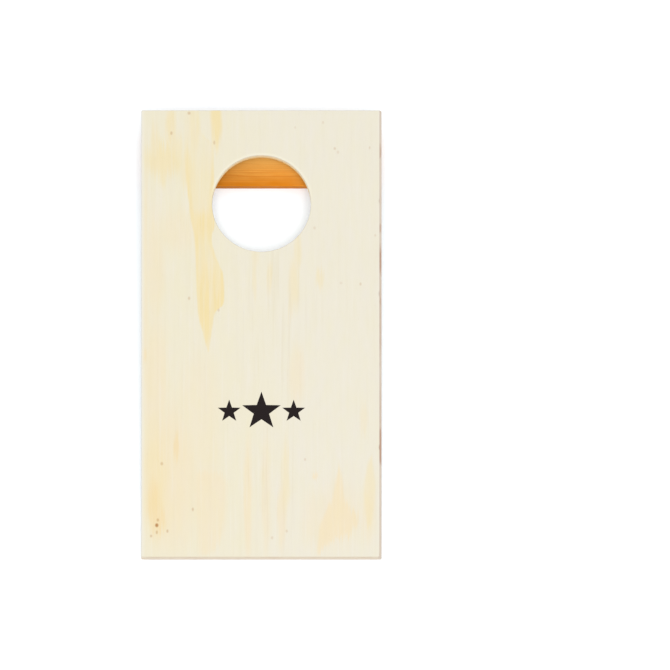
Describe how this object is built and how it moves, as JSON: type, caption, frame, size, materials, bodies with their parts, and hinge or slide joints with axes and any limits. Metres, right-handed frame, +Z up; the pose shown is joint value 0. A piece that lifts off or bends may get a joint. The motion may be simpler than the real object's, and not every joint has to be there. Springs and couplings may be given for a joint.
{
  "type": "cornhole board",
  "caption": "Small tabletop cornhole board: a plywood deck with a round toss hole near its back end and a hinged plank leg that folds flat under it.",
  "frame": {"origin": "centre of the folded board's bounding box in plan, on the surface it lies on", "axes": "+X across the board to the right, +Y along the board towards the end with the toss hole, +Z up; the deck slopes 2.64 degrees up towards +Y because the folded leg is under its back end"},
  "size_m": [0.19, 0.362, 0.0266],
  "materials": {
    "plywood": "satin",
    "pine": "satin",
    "hinge_brass": "satin",
    "pin_brass": "satin",
    "screw_brass": "satin"
  },
  "bodies": {
    "deck": {"deck_panel": "plywood", "left_hinge_deck_leaf": "hinge_brass", "left_hinge_pin": "pin_brass", "left_hinge_deck_screw_outer": "screw_brass", "left_hinge_deck_screw_inner": "screw_brass", "right_hinge_deck_leaf": "hinge_brass", "right_hinge_pin": "pin_brass", "right_hinge_deck_screw_outer": "screw_brass", "right_hinge_deck_screw_inner": "screw_brass"},
    "leg": {"folding_leg": "pine", "left_hinge_leg_leaf": "hinge_brass", "left_hinge_leg_screw_outer": "screw_brass", "left_hinge_leg_screw_inner": "screw_brass", "right_hinge_leg_leaf": "hinge_brass", "right_hinge_leg_screw_outer": "screw_brass", "right_hinge_leg_screw_inner": "screw_brass"}
  },
  "joints": [
    {"name": "leg_fold", "type": "hinge", "parent": "deck", "child": "leg", "pos_m": [0, 0.16914, 0.01408], "axis": [1, 0, 0], "range_deg": [0, 90]}
  ]
}
